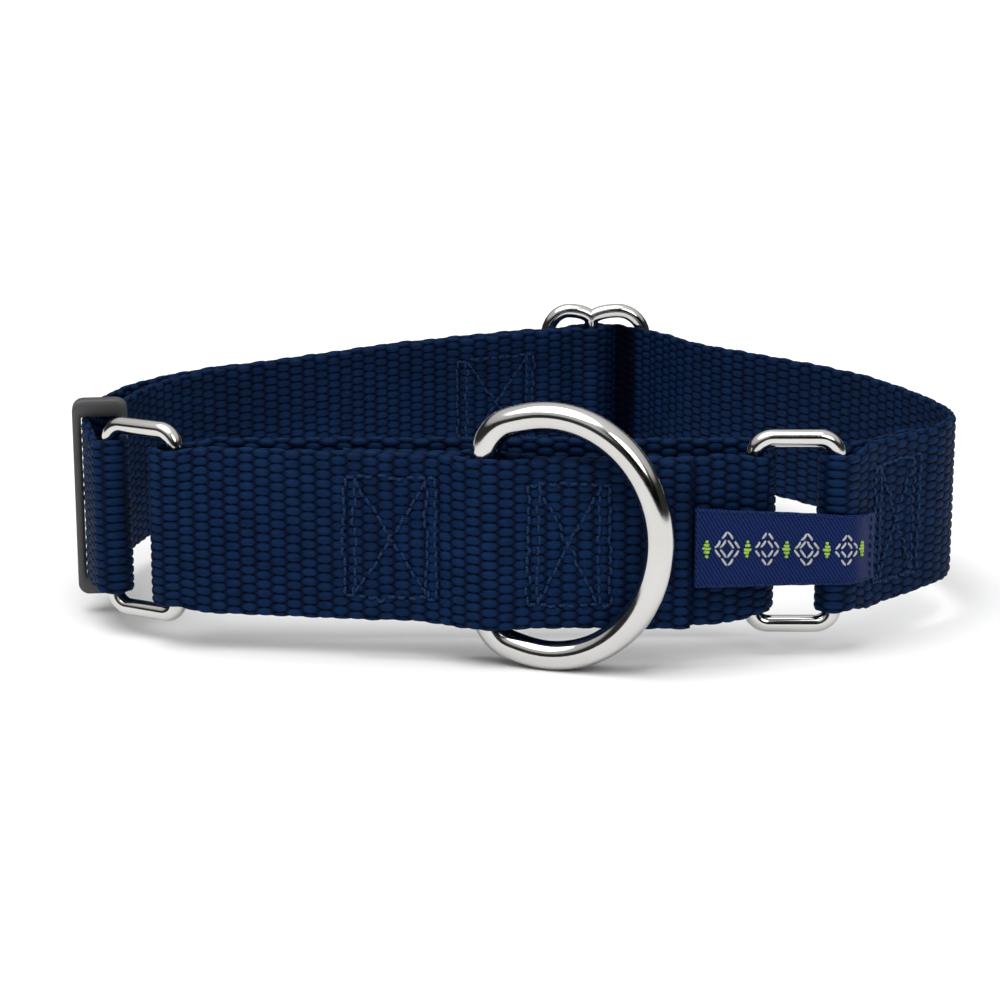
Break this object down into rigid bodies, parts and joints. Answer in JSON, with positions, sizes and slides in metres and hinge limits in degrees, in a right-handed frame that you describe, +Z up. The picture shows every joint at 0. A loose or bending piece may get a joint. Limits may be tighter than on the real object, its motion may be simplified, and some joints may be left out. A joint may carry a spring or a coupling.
{
  "type": "martingale collar",
  "caption": "Adjustable martingale dog collar of flat webbing with a control loop, rectangular rings, a leash D-ring, a tri-glide slider, a strap keeper and a sewn label.",
  "frame": {"origin": "on the surface that the collar stands on, under the middle of its bounding box", "axes": "+X along the front band to the viewer's right, +Y from the front band to the tri-glide at the back, +Z up, across the webbing's width"},
  "size_m": [0.2049, 0.2006, 0.0587],
  "materials": {
    "webbing": "navy nylon webbing, coarse plain weave with a slight sheen",
    "thread": "navy bonded sewing thread",
    "nickel": "polished nickel-plated steel wire",
    "keeper_plastic": "dark grey moulded plastic, fine matte texture",
    "label_satin": "navy woven satin label"
  },
  "bodies": {
    "control_loop": {"control_loop": "webbing", "box_stitch_front_left": "thread", "box_stitch_front_right": "thread"},
    "d_ring": {"d_ring": "nickel"},
    "ring_left": {"ring_left": "nickel"},
    "neck_left": {"neck_strap_left": "webbing", "tri_glide": "nickel", "box_stitch_tri_glide": "thread"},
    "keeper": {"keeper": "keeper_plastic"},
    "neck_right": {"neck_strap_right": "webbing", "box_stitch_right_end": "thread", "label": "label_satin", "label_stitch": "thread"},
    "ring_right": {"ring_right": "nickel"}
  },
  "joints": [
    {"name": "d_ring_swing", "type": "hinge", "parent": "control_loop", "child": "d_ring", "pos_m": [-0.00734, -0.08545, 0.02935], "axis": [0, 0, -1], "range_deg": [0, 158]},
    {"name": "draw", "type": "slide", "parent": "control_loop", "child": "ring_left", "axis": [1, 0, 0], "range_m": [0, 0.01675], "deforming": ["control_loop"]},
    {"name": "left_fold", "type": "hinge", "parent": "ring_left", "child": "neck_left", "pos_m": [-0.0901, -0.06196, 0.02775], "axis": [0, 0, 1], "range_deg": [0, 1.19]},
    {"name": "back_flex", "type": "hinge", "parent": "neck_left", "child": "neck_right", "pos_m": [0.03997, 0.08281, 0.02775], "axis": [0, 0, -1], "range_deg": [0, 11.18]},
    {"name": "right_fold", "type": "hinge", "parent": "neck_right", "child": "ring_right", "pos_m": [0.06936, -0.07805, 0.02775], "axis": [0, 0, 1], "range_deg": [0, 10]},
    {"name": "keeper_slide", "type": "slide", "parent": "neck_left", "child": "keeper", "axis": [0.1627, -0.9867, 0], "range_m": [-0.004, 0.0035]}
  ],
  "couplings": [
    {"joint": "left_fold", "follows": "draw", "rad_per_m": 1.235},
    {"joint": "back_flex", "follows": "draw", "rad_per_m": 11.645},
    {"joint": "right_fold", "follows": "draw", "rad_per_m": 10.41}
  ]
}
